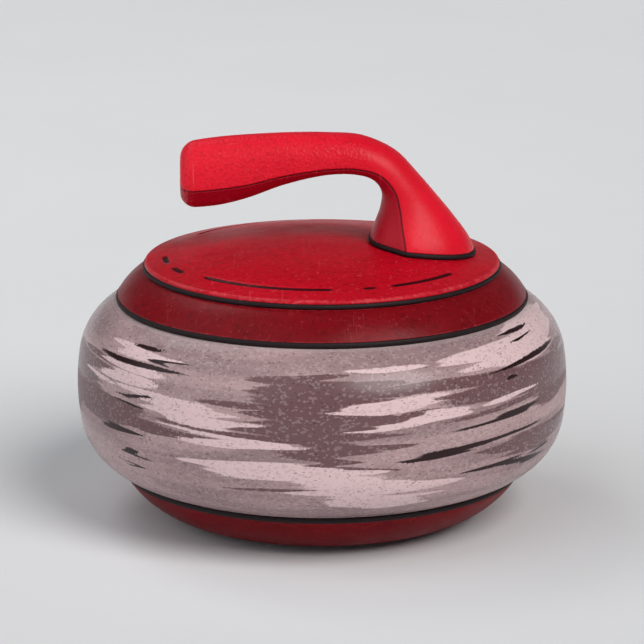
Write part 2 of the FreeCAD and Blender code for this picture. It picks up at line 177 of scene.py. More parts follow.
# Gasket under the grip's foot: least that it stands out all round, and its clearance from the dome
GASKET_OUT = 0.2
GASKET_LIFT = 0.01

# Matt striking band: distances from the equator between which it fades out, in metres
STRIKE_FADE = (0.0125, 0.0105)

# Stage and camera, in metres. The camera looks down at the angle of the cover's ellipse.
FLOOR_R = 7.0
FLOOR_Z = -0.0002
FLOOR_SPANS = 96
COVE_R = 0.6
WALL_TOP = 0.8
CAMERA_DOWN = math.radians(14.4)
CAMERA_LENS = 200
CAMERA_SENSOR = 36
STONE_SHARE = 0.76

# Grip sections from the free end to the foot: upper outline point, lower outline point, half width
# and the crease's height as a share of the section. The free end's rounding is added afterwards.
GRIP = [
    ((-82.5, 221.4), (-82.5, 183.2), 15.8, 0.30),
    ((-62.0, 224.6), (-61.0, 184.8), 16.4, 0.295),
    ((-44.0, 226.2), (-43.5, 189.2), 16.6, 0.27),
    ((-22.0, 227.3), (-22.0, 197.2), 16.4, 0.24),
    ((2.0, 227.45), (2.0, 203.0), 16.2, 0.21),
    ((24.0, 225.6), (19.0, 203.4), 16.6, 0.23),
    ((43.0, 216.7), (29.5, 200.2), 17.6, 0.29),
    ((56.0, 203.2), (34.6, 193.0), 18.9, 0.33),
    ((67.0, 190.3), (34.0, 183.5), 21.0, 0.33),
    ((77.0, 178.0), (31.0, 174.5), 25.0, 0.33),
    ((86.5, 164.5), (28.0, 165.5), 31.0, 0.34),
    ((90.5, 152.0), (25.5, 152.0), 34.0, 0.34),
]


def reach(node):
    """Largest radius, lowest and highest z of a round CAD node, in millimetres."""
    low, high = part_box(node)
    return high.x / MM, low.z / MM, high.z / MM


STONE_R, SPIGOT_BASE, SPIGOT_TOP = reach("stone_body")
STONE_BASE = reach("lower_seal")[2]
STONE_TOP = reach("upper_seal")[1]
RING_R, _, RING_TOP = reach("upper_ring")
RING_BASE = reach("upper_seal")[2]
COVER_RIM = reach("cover_seal")[2]
COVER_TOP = reach("top_cover")[2]
SKIRT_TOP = reach("lower_seal")[1]
SKIRT_R, SKIRT_BASE, SKIRT_SEAT = reach("lower_skirt")
INSERT_FLANGE_R, BAND_Z, INSERT_TOP = reach("running_insert")
BOLT_SEAT = reach("cushion_washer")[2]
PLATE_BASE = reach("plate_cushion")[2]


# ---------------------------------------------------------------- outlines

def arc(start, end, bulge, count):
    """Points from start to end on an arc that swells to the left of that direction, ends left out."""
    run = (end[0] - start[0], end[1] - start[1])
    length = math.hypot(*run)
    radius = (length ** 2 / 4 + bulge ** 2) / (2 * bulge)
    left = (-run[1] / length, run[0] / length)
    middle = ((start[0] + end[0]) / 2, (start[1] + end[1]) / 2)
    centre = (middle[0] + left[0] * (bulge - radius), middle[1] + left[1] * (bulge - radius))
    sweep = math.asin(length / 2 / abs(radius))
    points = []
    for number in range(1, count):
        turn = sweep * (2 * number / count - 1)
        along = abs(radius) * math.sin(turn) / length
        out = radius * math.cos(turn)
        points.append((centre[0] + left[0] * out + run[0] * along,
                       centre[1] + left[1] * out + run[1] * along))
    return points


def shoulder_radius(z):
    """Granite radius at a height above or below the striking band."""
    lean = math.asin(BELLY_HALF / BELLY_R)
    centre_r = STONE_R - BELLY_R + (BELLY_R - SHOULDER_R) * math.cos(lean)
    rise = abs(z - EQUATOR_Z) - (BELLY_R - SHOULDER_R) * math.sin(lean)
    return centre_r + math.sqrt(SHOULDER_R ** 2 - rise ** 2)


def stone_radius(z):
    if abs(z - EQUATOR_Z) < BELLY_HALF:
        return STONE_R - BELLY_R + math.sqrt(BELLY_R ** 2 - (z - EQUATOR_Z) ** 2)
    return shoulder_radius(z)


def spread(low, high, count):
    return [low + (high - low) * number / count for number in range(count + 1)]


def divided(length):
    """Where a run is divided: close to its ends, and evenly between if it is long."""
    if length < SHORT_RUN:
        return []
    first, last = NEAR_END[-1], length - NEAR_END[-1]
    between = []
    if length > 2 * SHORT_RUN:
        between = spread(first, last, int((last - first) / RUN_STEP))[1:-1]
    stops = list(NEAR_END) + between + [length - s for s in reversed(NEAR_END)]
    return [s / length for s in stops]


def softened(outline, radius, steps=4):
    """Closed outline with each sharp corner rounded and long runs divided.

    Gives points (r, z, wear): wear is 1 on a rounded outside corner and falls off beside it."""
    count = len(outline)
    area = sum(a[0] * b[1] - b[0] * a[1] for a, b in zip(outline, outline[1:] + outline[:1]))
    corners = []
    for number in range(count):
        before, here, after = (Vector(outline[(number + k) % count]) for k in (-1, 0, 1))
        come = here - before
        leave = after - here
        turn = come.angle_signed(leave, 0.0) * (-1 if area > 0 else 1)
        if abs(turn) < SHARP_TURN:
            corners.append([(here.x, here.y, 0.0)])
            continue
        cut = min(radius * math.tan(abs(turn) / 2), come.length * CUT_SHARE, leave.length * CUT_SHARE)
        first = here - come.normalized() * cut
        last = here + leave.normalized() * cut
        wear = 1.0 if turn > 0 else 0.0
        points = []
        for step in range(steps + 1):
            t = step / steps
            p = first * (1 - t) ** 2 + here * (2 * t * (1 - t)) + last * t ** 2
            points.append((p.x, p.y, wear))
        corners.append(points)
    rounded = [point for corner in corners for point in corner]
    result = []
    for a, b in zip(rounded, rounded[1:] + rounded[:1]):
        result.append(a)
        length = math.hypot(b[0] - a[0], b[1] - a[1])
        for t in divided(length):
            near = max(a[2] * math.exp(-t * length / WEAR_FADE),
                       b[2] * math.exp(-(1 - t) * length / WEAR_FADE))
            result.append((a[0] + (b[0] - a[0]) * t, a[1] + (b[1] - a[1]) * t, near))
    return result


# ---------------------------------------------------------------- meshes

def make_piece(name, points, faces, material, slot, replaces=(), **marks):
    """Mesh piece from points in millimetres, riding on the stone's one body.

    marks are values from 0 to 1 for each point, such as wear, that the materials read."""
    mesh = bpy.data.meshes.new(name)
    mesh.from_pydata([Vector(p) * MM for p in points], [], faces)
    for mark, values in marks.items():
        mesh.attributes.new(mark, "FLOAT", "POINT").data.foreach_set("value", values)
    tidy = bmesh.new()
    tidy.from_mesh(mesh)
    bmesh.ops.recalc_face_normals(tidy, faces=tidy.faces)
    tidy.to_mesh(mesh)
    tidy.free()
    mesh.shade_smooth()
    piece = bpy.data.objects.new(name, mesh)
    bpy.context.scene.collection.objects.link(piece)
    mesh.materials.append(material)
    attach(piece, "root")
    if replaces:
        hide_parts(*replaces)
    return piece


def around(radius, z, angle):
    return (radius * math.sin(angle), -radius * math.cos(angle), z)


def lathe(name, outline, material, slot, spans=240, replaces=(), cut=None):
    """Closed solid of revolution. cut(r, z, angle) gives how deep a groove is there, from 0 to 1.

    The columns stand half a step off the axes, so that no corner of a boss or hole falls on one."""
    points, wear, groove, rows = [], [], [], []
    for r, z, worn in outline:
        on_axis = r == 0.0
        rows.append([len(points) + (0 if on_axis else span) for span in range(spans)])
        for span in range(1 if on_axis else spans):
            angle = 2 * math.pi * (span + 0.5) / spans
            share = cut(r, z, angle) if cut else 0.0
            points.append(around(r, z - ACCENT_DEPTH * share, angle))
            wear.append(worn)
            groove.append(share)
    faces = []
    for row, after in zip(rows, rows[1:] + rows[:1]):
        for span in range(spans):
            nxt = (span + 1) % spans
            corners = list(dict.fromkeys([row[span], row[nxt], after[nxt], after[span]]))
            if len(corners) > 2:
                faces.append(corners)
    return make_piece(name, points, faces, material, slot, replaces, wear=wear, groove=groove)


def combine(piece, tool_mesh, operation):
    """Adds or cuts away a closed mesh, and keeps the result as the piece's own mesh."""
    tool = bpy.data.objects.new("tool", tool_mesh)
    bpy.context.scene.collection.objects.link(tool)
    modifier = piece.modifiers.new("combine", "BOOLEAN")
    modifier.operation = operation
    modifier.object = tool
    modifier.solver = "EXACT"
    bpy.context.view_layer.update()
    graph = bpy.context.evaluated_depsgraph_get()
    mesh = bpy.data.meshes.new_from_object(piece.evaluated_get(graph))
    piece.modifiers.clear()
    old = piece.data
    piece.data = mesh
    bpy.data.objects.remove(tool)
    for spent in (old, tool_mesh):
        bpy.data.meshes.remove(spent)


def prisms(shapes):
    """Mesh of upright prisms, each from its outline (x, y) and the z of every corner's two ends."""
    points, faces = [], []
    for outline, lows, highs in shapes:
        first, size = len(points), len(outline)
        points += [(x, y, z) for (x, y), z in zip(outline, lows)]
        points += [(x, y, z) for (x, y), z in zip(outline, highs)]
        faces.append([first + k for k in reversed(range(size))])
        faces.append([first + size + k for k in range(size)])
        for k in range(size):
            nxt = (k + 1) % size
            faces.append([first + k, first + nxt, first + size + nxt, first + size + k])
    mesh = bpy.data.meshes.new("prisms")
    mesh.from_pydata([Vector(p) * MM for p in points], [], faces)
    return mesh


# ---------------------------------------------------------------- materials

class Paint:
    """Builds one material's nodes."""

    def __init__(self, name):
        self.material = bpy.data.materials.new(name)
        self.material.use_nodes = True
        self.tree = self.material.node_tree
        self.tree.nodes.clear()
        self.place = self.put("TexCoord").outputs["Object"]

    def put(self, kind, inputs=None, **settings):
        made = self.tree.nodes.new("ShaderNode" + kind)
        for key, value in settings.items():
            setattr(made, key, value)
        for key, value in (inputs or {}).items():
            if isinstance(value, bpy.types.NodeSocket):
                self.tree.links.new(value, made.inputs[key])
            else:
                made.inputs[key].default_value = value
        return made

    def math(self, operation, *values):
        return self.put("Math", dict(enumerate(values)), operation=operation).outputs[0]

    def times(self, first, second):
        return self.math("MULTIPLY", first, second)

    def linear(self, value, slope, start):
        return self.math("MULTIPLY_ADD", value, slope, start)

    def noise(self, scale, detail=3.0, roughness=0.5, at=None, distortion=0.0):
        inputs = {"Vector": at or self.place, "Scale": scale, "Detail": detail,
                  "Roughness": roughness, "Distortion": distortion}
        return self.put("TexNoise", inputs).outputs["Fac"]

    def cells(self, scale, at=None, feature="F1", output="Color"):
        inputs = {"Vector": at or self.place, "Scale": scale}
        return self.put("TexVoronoi", inputs, feature=feature).outputs[output]

    def stretched(self, x, y, z):
        inputs = {"Vector": self.place, "Scale": (x, y, z)}
        return self.put("Mapping", inputs).outputs[0]

    def band(self, value, start, stop, low=0.0, high=1.0):
        """Smooth step of value from start to stop, giving low to high."""
        inputs = {"Value": value, "From Min": start, "From Max": stop, "To Min": low, "To Max": high}
        return self.put("MapRange", inputs, interpolation_type="SMOOTHSTEP").outputs[0]

    def blend(self, factor, first, second, mode="MIX"):
        inputs = {0: factor, 6: first, 7: second}
        return self.put("Mix", inputs, data_type="RGBA", blend_type=mode).outputs[2]

    def red_of(self, colour):
        return self.put("SeparateColor", {0: colour}).outputs[0]

    def attribute(self, name):
        return self.put("Attribute", attribute_name=name).outputs["Fac"]

    def bump(self, height, distance, strength=1.0, normal=None):
        inputs = {"Height": height, "Distance": distance, "Strength": strength}
        if normal:
            inputs["Normal"] = normal
        return self.put("Bump", inputs).outputs[0]

    def finish(self, **inputs):
        named = {key.replace("_", " "): value for key, value in inputs.items()}
        shader = self.put("BsdfPrincipled", named)
        self.put("OutputMaterial", {"Surface": shader.outputs[0]})
        return self.material


def srgb(red, green, blue):
    """Linear colour of a colour given in 0 to 255."""
    parts = [value / 255 for value in (red, green, blue)]
    return tuple(p / 12.92 if p <= 0.04045 else ((p + 0.055) / 1.055) ** 2.4 for p in parts) + (1.0,)


# Streaks in the granite: middle angle in degrees, middle height above the equator, half length in
# degrees, half height in millimetres and slope in millimetres per degree. In the dark list, the wide
# patches near the far left and right sides, around ±75°, are painted shade rather than streaks.
# TEAR is how far, in degrees, the streaks' ends are torn apart.
TEAR = 50.0
DARK_STREAKS_AND_SIDE_SHADE = [
    (-3, 31, 16, 6, 0.0), (1, 20, 14, 9, 0.0), (-16, 21, 16, 1.8, 0.02), (0, 8, 13, 9, 0.0),
    (2, -4, 8, 9, 0.0), (-22, 4, 17, 2.2, -0.12), (30, 28, 32, 3.2, -0.06), (55, 22, 27, 7, 0.04),
    (14, 14, 17, 1.8, 0.12), (72, 13, 14, 11, 0.0), (-76, 14, 17, 15, -0.10), (-60, 3, 20, 9, -0.16),
    (-38, -1, 14, 2.6, -0.12), (60, -15, 16, 7, 0.0), (-4, -27.5, 14, 1.2, 0.0), (12, -1, 9, 1.6, -0.1),
    (45, 10, 18, 1.6, 0.12), (-80, -2, 9, 9, 0.0), (4, -14, 6, 2, 0.0), (0, 37, 9, 2, 0.0),
    (-62, 29.5, 12, 1.6, -0.05), (76, 24, 10, 8, 0.0),
]
LIGHT_STREAKS = [
    (-53, 24, 12, 3.0, -0.14), (-47, 30, 9, 3.0, 0.0), (-53, 38, 9, 3.2, 0.0),
    (-35, 16, 17, 3.6, -0.12), (-27, 10, 14, 4.2, -0.08), (-26, 2.4, 12, 1.4, -0.14),
    (-20, -1, 14, 2.6, -0.08), (-13, -16, 19, 5.6, 0.0), (10, -24, 17, 6.5, 0.0),
    (11, -35, 11, 5, 0.1), (16, 21, 12, 4.0, 0.0), (22, 12, 13, 3.0, 0.20), (60, 38, 22, 8, 0.12),
    (42, 35, 16, 2.0, 0.04), (24, 40, 13, 1.3, 0.0), (52, 14.5, 12, 1.4, 0.10), (-60, 19, 7, 1.4, -0.1),
    (68, 44, 18, 7, 0.04),
]
BLACK_FLECKS = [
    (-51, 32.6, 15, 1.5, 0.0), (-46, 41.3, 4, 1.0, 0.0), (-43, 36.6, 4, 1.6, 0.0),
    (-48, 15, 2.4, 2.2, 0.1), (-51, 9.6, 5, 1.0, 0.0), (-48, -7, 7, 1.9, 0.06), (-52, -18, 3, 2.2, 0.2),
    (-54, -26, 2.5, 1.2, 0.1), (54, 45, 4, 0.9, 0.08), (65, 41.3, 2.4, 0.9, 0.08),
    (57, 31.6, 17, 1.3, 0.11), (49, 24.8, 3, 1.1, 0.05), (51, 4.6, 13, 2.0, 0.12),
    (40, -7.6, 20, 1.3, 0.10), (28, -10.4, 8, 1.6, -0.03), (46, -22.8, 5, 1.2, 0.0),
    (52, -25.4, 6, 2.4, -0.2), (60, -22.4, 4, 1.0, 0.1),
]


def wrapped(streaks):
    """The streaks, with a turned copy of each that runs out of the front half into the back one."""
    copies = [(angle - math.copysign(180, angle), -height, half_length, half_height, -slope)
              for angle, height, half_length, half_height, slope in streaks
              if abs(angle) + half_length + TEAR / 2 > 90]
    return streaks + copies


def streak_mask(paint, spot, streaks, soft):
    """Largest of several long rounded streaks, 1 inside and 0 outside."""
    total = None
    for angle, height, half_length, half_height, slope in wrapped(streaks):
        inputs = {"Vector": spot, "Location": (angle, height, 0.0),
                  "Rotation": (0.0, 0.0, math.atan(slope)), "Scale": (half_length, half_height, 1.0)}
        local = paint.put("Mapping", inputs, vector_type="TEXTURE").outputs[0]
        away = paint.put("VectorMath", {0: local}, operation="LENGTH").outputs["Value"]
        inside = paint.band(away, 1.0 + soft, 1.0 - soft)
        total = inside if total is None else paint.math("MAXIMUM", total, inside)
    return total


def granite():
    """Polished pink-grey granite with torn horizontal streaks of dark and light grain, and painted shade
    near its far left and right sides.
    """
    paint = Paint("streaked_granite")
    split = paint.put("SeparateXYZ", {0: paint.place})
    x, y, z = split.outputs
    angle = paint.math("ARCTAN2", x, paint.times(y, -1.0))
    front = paint.math("COSINE", angle)
    side = paint.math("SIGN", front)
    # the back half shows the same streaks upside down
    degrees = paint.math("DEGREES", paint.math("ARCTAN2", paint.times(x, side),
                                               paint.math("ABSOLUTE", y)))
    # brush-like tears: the ends wander quickly with height, slowly along the streak
    tear = paint.noise(1.0, 1.6, 0.45, at=paint.stretched(7, 7, 210))
    sway = paint.noise(1.0, 2.0, 0.5, at=paint.stretched(11, 11, 16))
    crystal = paint.red_of(paint.cells(800.0))
    torn = paint.linear(tear, TEAR, -TEAR / 2)
    grainy = paint.linear(crystal, 1.2, -0.6)
    degrees = paint.math("ADD", paint.math("ADD", degrees, torn), grainy)
    height = paint.times(paint.math("SUBTRACT", z, EQUATOR_Z * MM), 1 / MM)
    drift = paint.linear(sway, 7.0, -3.5)
    lifted = paint.linear(crystal, 0.4, -0.2)
    height = paint.math("ADD", paint.math("ADD", height, drift), lifted)
    height = paint.times(height, side)
    spot = paint.put("CombineXYZ", {0: degrees, 1: height}).outputs[0]

    dark = streak_mask(paint, spot, DARK_STREAKS_AND_SIDE_SHADE, 0.07)
    light = streak_mask(paint, spot, LIGHT_STREAKS, 0.07)
    black = streak_mask(paint, spot, BLACK_FLECKS, 0.14)

    soft_tone = paint.noise(1.0, 3.0, 0.55, at=paint.stretched(8, 8, 70))
    colour = paint.blend(paint.band(soft_tone, 0.40, 0.62), srgb(150, 124, 126), srgb(180, 151, 152))
    # painted shade: some wide dark patches near the far left and right sides stand in for shade on the
    # turning sides
    colour = paint.blend(dark, colour, srgb(110, 80, 83))
    colour = paint.blend(light, colour, srgb(222, 193, 195))
    # crystals: pale feldspar, grey quartz and black mica
    grain = paint.red_of(paint.cells(640.0, at=paint.stretched(1, 1, 1.4)))
    pale = paint.band(grain, 0.78, 0.84)
    smoky = paint.band(grain, 0.22, 0.16)
    colour = paint.blend(paint.times(pale, 0.12), colour, srgb(238, 222, 220))
    colour = paint.blend(paint.times(smoky, 0.16), colour, srgb(92, 74, 78))
    mica = paint.cells(900.0, at=paint.stretched(1, 1, 2.0))
    flakes = paint.band(paint.red_of(mica), 0.95, 0.98)
    colour = paint.blend(paint.times(flakes, 0.5), colour, srgb(44, 30, 34))
    colour = paint.blend(black, colour, srgb(38, 14, 18))

    # the striking band is ground matt, the rest polished
    off_equator = paint.math("ABSOLUTE", paint.math("SUBTRACT", z, EQUATOR_Z * MM))
    strike = paint.band(off_equator, *STRIKE_FADE)
    fine = paint.noise(900.0, 3.0, 0.6)
    smooth = paint.linear(fine, 0.10, 0.20)
    rough = paint.linear(strike, 0.16, smooth)
    rough = paint.linear(paint.attribute("wear"), 0.25, rough)
    rubbed = paint.times(paint.attribute("wear"), 0.35)
    colour = paint.blend(rubbed, colour, srgb(205, 190, 190))
    pits = paint.band(paint.noise(620.0, 4.0, 0.7), 0.60, 0.72)
    relief = paint.times(pits, paint.linear(strike, 0.8, 0.2))
    normal = paint.bump(relief, 0.00025, 0.55)
    normal = paint.bump(grain, 0.00005, 0.35, normal)
    return paint.finish(Base_Color=colour, Roughness=rough, Normal=normal, Specular_IOR_Level=0.3)


def hone_granite():
    """Fine blue-grey granite of the running insert, scored by the ice on its running band."""
    paint = Paint("hone_granite")
    grain = paint.red_of(paint.cells(900.0))
    cloud = paint.noise(38.0, 4.0, 0.6)
    colour = paint.blend(cloud, srgb(96, 104, 116), srgb(124, 132, 144))
    pale = paint.times(paint.band(grain, 0.8, 0.86), 0.5)
    smoky = paint.times(paint.band(grain, 0.2, 0.14), 0.6)
    colour = paint.blend(pale, colour, srgb(176, 184, 192))
    colour = paint.blend(smoky, colour, srgb(52, 58, 68))
    split = paint.put("SeparateXYZ", {0: paint.place})
    x, y = split.outputs[0], split.outputs[1]
    squares = paint.math("ADD", paint.times(x, x), paint.times(y, y))
    radius = paint.math("SQRT", squares)
    off_band = paint.math("ABSOLUTE", paint.math("SUBTRACT", radius, BAND_R * MM))
    band = paint.band(off_band, 0.0042, 0.0028)
    colour = paint.blend(paint.times(band, 0.45), colour, srgb(170, 174, 180))
    score = paint.noise(1.0, 4.0, 0.7, at=paint.stretched(420, 2600, 300))
    rough = paint.linear(band, 0.35, paint.linear(grain, 0.1, 0.3))
    normal = paint.bump(paint.times(score, band), 0.0002, 0.6)
    normal = paint.bump(grain, 0.00006, 0.3, normal)
    return paint.finish(Base_Color=colour, Roughness=rough, Normal=normal)


def hairlines(paint):
    """Fine scratches that run two ways, in patches."""
    across = paint.noise(1.0, 2.0, 0.5, at=paint.stretched(900, 26, 60), distortion=0.3)
    along = paint.noise(1.0, 2.0, 0.5, at=paint.stretched(22, 1000, 70), distortion=0.3)
    patches = paint.band(paint.noise(24.0, 3.0, 0.6), 0.48, 0.62)
    lines = paint.math("MAXIMUM", paint.band(across, 0.65, 0.70), paint.band(along, 0.65, 0.70))
    return paint.times(lines, patches)


def red_plastic(name, body, shade, worn, base_rough, specular):
    """Moulded urethane: cloudy pigment, fine orange peel, hairline scratches, scuffed corners and
    painted shade in cut grooves.
    """
    paint = Paint(name)
    cloud = paint.noise(14.0, 5.0, 0.62, distortion=0.4)
    colour = paint.blend(paint.band(cloud, 0.36, 0.66), shade, body)
    mottle = paint.noise(330.0, 4.0, 0.7)
    blotches = paint.times(paint.band(mottle, 0.50, 0.66), 0.30)
    colour = paint.blend(blotches, colour, (0, 0, 0, 1))
    speck = paint.red_of(paint.cells(820.0))
    colour = paint.blend(paint.times(paint.band(speck, 0.955, 0.985), 0.22), colour, worn)
    scuff = paint.noise(170.0, 6.0, 0.75)
    edge = paint.times(paint.attribute("wear"), paint.band(scuff, 0.38, 0.62))
    colour = paint.blend(paint.times(edge, 0.40), colour, worn)
    # painted shade: inside the cut accent grooves the colour goes near black-red, for the shade in them
    colour = paint.blend(paint.band(paint.attribute("groove"), 0.1, 0.45), colour, srgb(58, 3, 11))
    scratches = hairlines(paint)
    colour = paint.blend(paint.times(scratches, 0.30), colour, worn)
    smudge = paint.noise(33.0, 5.0, 0.7)
    rough = paint.linear(paint.band(smudge, 0.35, 0.7), 0.12, base_rough)
    rough = paint.linear(edge, 0.22, rough)
    rough = paint.linear(scratches, 0.12, rough)
    normal = paint.bump(paint.noise(430.0, 2.0, 0.5), 0.00014, 0.7)
    normal = paint.bump(paint.math("SUBTRACT", 1.0, scratches), 0.0001, 0.6, normal)
    return paint.finish(Base_Color=colour, Roughness=rough, Normal=normal, Specular_IOR_Level=specular)


def grip_plastic():
    """Hand-warm satin plastic with a fine pebbled grain where the fingers close, with painted shade on
    its lower facet and in its seam groove.
    """
    paint = Paint("grip_red")
    cloud = paint.noise(20.0, 5.0, 0.6, distortion=0.3)
    colour = paint.blend(paint.band(cloud, 0.34, 0.68), srgb(216, 14, 38), srgb(230, 22, 46))
    # painted shade: the facet below the crease is a deeper red, standing in for shade on the side turned
    # down
    colour = paint.blend(paint.attribute("facet"), colour, srgb(176, 9, 36))
    # painted shade: the seam groove is painted near black-red, for the shade inside it
    colour = paint.blend(paint.attribute("groove"), colour, srgb(66, 3, 14))
    scuff = paint.noise(210.0, 6.0, 0.75)
    ridges = paint.math("ADD", paint.put("NewGeometry").outputs["Pointiness"], -0.5)
    rubbed = paint.times(paint.band(ridges, 0.02, 0.10), paint.band(scuff, 0.42, 0.66))
    colour = paint.blend(paint.times(rubbed, 0.4), colour, srgb(242, 92, 98))
    split = paint.put("SeparateXYZ", {0: paint.place})
    held = paint.band(split.outputs[0], 0.034, 0.012)
    pebble = paint.cells(680.0, feature="SMOOTH_F1", output="Distance")
    depth = paint.linear(held, 0.15, 0.08)
    pits = paint.times(paint.band(pebble, 0.40, 0.75), depth)
    colour = paint.blend(pits, colour, srgb(120, 2, 20))
    palm = paint.times(paint.band(paint.noise(46.0, 5.0, 0.65), 0.50, 0.66), held)
    crests = paint.times(paint.band(pebble, 0.30, 0.12), palm)
    colour = paint.blend(paint.times(crests, 0.30), colour, srgb(244, 84, 92))
    scratches = hairlines(paint)
    colour = paint.blend(paint.times(scratches, 0.28), colour, srgb(244, 100, 106))
    hand = paint.noise(30.0, 4.0, 0.65)
    rough = paint.linear(paint.band(hand, 0.35, 0.7), 0.14, 0.34)
    rough = paint.linear(rubbed, 0.15, rough)
    rough = paint.linear(scratches, 0.12, rough)
    relief = paint.times(pebble, paint.linear(held, 0.85, 0.15))
    normal = paint.bump(relief, 0.0006, 0.7)
    normal = paint.bump(paint.noise(420.0, 2.0, 0.5), 0.0001, 0.6, normal)
    return paint.finish(Base_Color=colour, Roughness=rough, Normal=normal, Specular_IOR_Level=0.2)


def rubber():
    paint = Paint("black_rubber")
    dust = paint.noise(260.0, 6.0, 0.75)
    colour = paint.blend(paint.band(dust, 0.5, 0.8), srgb(22, 5, 9), srgb(46, 30, 33))
    rough = paint.linear(dust, 0.25, 0.5)
    normal = paint.bump(paint.noise(1100.0, 3.0, 0.6), 0.0001, 0.5)
    return paint.finish(Base_Color=colour, Roughness=rough, Normal=normal, Specular_IOR_Level=0.3)


def metal(name, bright, dull, roughness, scale, stretch=(1, 1, 1), relief=0.0001):
    """Bare metal with tool marks or cast grain, and duller patches."""
    paint = Paint(name)
    marks = paint.noise(scale, 4.0, 0.65, at=paint.stretched(*stretch))
    stain = paint.noise(28.0, 4.0, 0.6)
    colour = paint.blend(paint.band(stain, 0.4, 0.68), bright, dull)
    rough = paint.linear(marks, 0.22, roughness)
    normal = paint.bump(marks, relief, 0.5)
    return paint.finish(Base_Color=colour, Roughness=rough, Normal=normal, Metallic=1.0)


def nylon():
    paint = Paint("nylon")
    cloud = paint.noise(60.0, 4.0, 0.6)
    colour = paint.blend(cloud, srgb(206, 200, 186), srgb(226, 222, 210))
    normal = paint.bump(paint.noise(700.0, 2.0, 0.5), 0.00008, 0.4)
    return paint.finish(Base_Color=colour, Roughness=paint.linear(cloud, 0.2, 0.4),
                        Normal=normal, Subsurface_Weight=0.1)


def floor_paint():
    paint = Paint("pale_floor")
    cloud = paint.noise(3.0, 4.0, 0.55)
    colour = paint.blend(cloud, srgb(224, 225, 227), srgb(230, 231, 233))
    # the wall catches light from the floor as well, so it is painted a little darker
    height = paint.put("SeparateXYZ", {0: paint.place}).outputs[2]
    colour = paint.blend(paint.band(height, 0.0, COVE_R), colour, srgb(217, 218, 220))
    return paint.finish(Base_Color=colour, Roughness=0.8, Specular_IOR_Level=0.0)


# ---------------------------------------------------------------- granite, insert and skirt

def stone_piece(material):
    recess_r = INSERT_R + FIT
    recess_top = INSERT_TOP + FIT
    side = [(stone_radius(z), z) for z in spread(STONE_BASE, STONE_TOP, 60)]
    outline = [(BORE_R, recess_top), (recess_r, recess_top), (recess_r, SPIGOT_BASE),
               (SPIGOT_BASE_R, SPIGOT_BASE), (SPIGOT_BASE_R, STONE_BASE)]
    outline += side
    outline += [(SPIGOT_TOP_R, STONE_TOP), (SPIGOT_TOP_R, SPIGOT_TOP), (TOP_WELL_R, SPIGOT_TOP),
                (TOP_WELL_R, STONE_TOP), (BORE_R, STONE_TOP)]
    return lathe("granite_body", softened(outline, 1.2), material, "granite", 360, ["stone_body"])


def insert_piece(material):
    out, inn = BAND_R + BAND_HALF, BAND_R - BAND_HALF
    edge = (inn - BAND_INNER_RAMP[0], BAND_Z + BAND_INNER_RAMP[1])
    well = (BOLT_WELL_R, CUP_TOP)
    outline = [(BORE_R, BOLT_SEAT), (BOLT_WELL_R, BOLT_SEAT), well]
    outline += arc(well, edge, CUP_BULGE, 16)
    outline += [edge, (inn, BAND_Z), (out, BAND_Z),
                (out + BAND_OUTER_RAMP[0], BAND_Z + BAND_OUTER_RAMP[1]),
                (INSERT_FLANGE_R, SKIRT_BASE + SKIRT_BASE_EDGE), (INSERT_FLANGE_R, INSERT_FLANGE_TOP),
                (INSERT_R, INSERT_FLANGE_TOP), (INSERT_R, INSERT_TOP), (BORE_R, INSERT_TOP)]
    return lathe("running_disc", softened(outline, 0.6), material, "hone_granite", 240,
                 ["running_insert"])


def skirt_piece(material):
    outer = (SKIRT_R, SKIRT_TOP)
    foot = (SKIRT_BASE_R, SKIRT_BASE)
    throat = INSERT_FLANGE_R + FIT
    lip = LOWER_BEAD_INNER_R - FIT
    outline = [(INSERT_R + FIT, INSERT_FLANGE_TOP), (throat, INSERT_FLANGE_TOP),
               (throat, SKIRT_BASE + SKIRT_BASE_EDGE), foot]
    outline += arc(foot, outer, -SKIRT_BULGE, 28)
    outline += [outer, (lip, SKIRT_TOP), (lip, SKIRT_SEAT), (POCKET_OUTER_R, SKIRT_SEAT)]
    outline += POCKET_FLOOR
    outline += [(POCKET_INNER_R, SKIRT_SEAT), (SPIGOT_BASE_R + FIT, SKIRT_SEAT),
                (SPIGOT_BASE_R + FIT, SPIGOT_BASE), (INSERT_R + FIT, SPIGOT_BASE)]
    return lathe("base_skirt", softened(outline, 1.1), material, "base_red", 288, ["lower_skirt"])


# ---------------------------------------------------------------- collar, cover and beads

def ring_piece(material):
    base = (RING_R, RING_BASE)
    crown = (RING_TOP_R, RING_TOP)
    lip = UPPER_BEAD_INNER_R - FIT
    outline = [(SPIGOT_TOP_R + FIT, STONE_TOP), (lip, STONE_TOP), (lip, RING_BASE), base]
    outline += arc(base, crown, -RING_BULGE, 20)
    outline += [crown, (RING_INNER_R, RING_TOP), (RING_INNER_R, PLATE_BASE),
                (RING_FLANGE_R, PLATE_BASE), (RING_FLANGE_R, SPIGOT_TOP),
                (SPIGOT_TOP_R + FIT, SPIGOT_TOP)]
    return lathe("collar", softened(outline, 1.1), material, "dark_red", 288, ["upper_ring"])


def bead_piece(name, node, inner, material):
    """Rubber ring whose outer edge swells out of its joint."""
    outer, low, high = reach(node)
    edge = outer - BEAD_SWELL
    swell = arc((edge, low), (edge, high), -BEAD_SWELL, 10)
    outline = [(inner, low, 0), (edge, low, 0)] + [(r, z, 0) for r, z in swell]
    outline += [(edge, high, 0), (inner, high, 0)]
    return lathe(name, outline, material, "black_rubber", 288, [node])


def dome_radius():
    half = RING_TOP_R - COVER_EDGE_ROUND
    rise = COVER_TOP - COVER_RIM - COVER_EDGE_ROUND
    return (half ** 2 + rise ** 2) / (2 * rise)


def dome_z(radius, raised=0.0):
    sphere = dome_radius()
    return COVER_TOP - sphere + math.sqrt((sphere + raised) ** 2 - radius ** 2)


